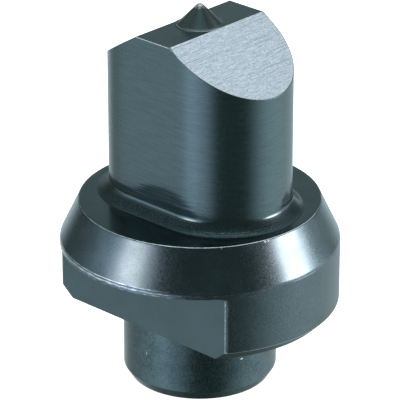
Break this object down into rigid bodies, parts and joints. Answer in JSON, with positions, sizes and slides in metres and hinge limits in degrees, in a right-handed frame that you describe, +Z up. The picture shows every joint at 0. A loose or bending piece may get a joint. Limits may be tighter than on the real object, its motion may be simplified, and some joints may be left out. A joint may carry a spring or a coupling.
{
  "type": "oval punch",
  "caption": "Oval punch with a roof-shaped end and centre pip, a coned collar with one key flat, and a round spigot.",
  "frame": {"origin": "centre of the spigot's end face", "axes": "+Z up along the punch axis towards the cutting end, +X along the oval's long axis, key flat facing -Y"},
  "size_m": [0.0288, 0.0288, 0.0407],
  "materials": {
    "blade_steel": "black-oxided tool steel with a freshly ground roof",
    "collar_steel": "black-oxided tool steel, turned, with a glossy cone",
    "pip_steel": "black-oxided tool steel, tip rubbed bright"
  },
  "bodies": {
    "root": {"blade_stem": "blade_steel", "collar": "collar_steel", "centre_pip": "pip_steel"}
  },
  "joints": []
}
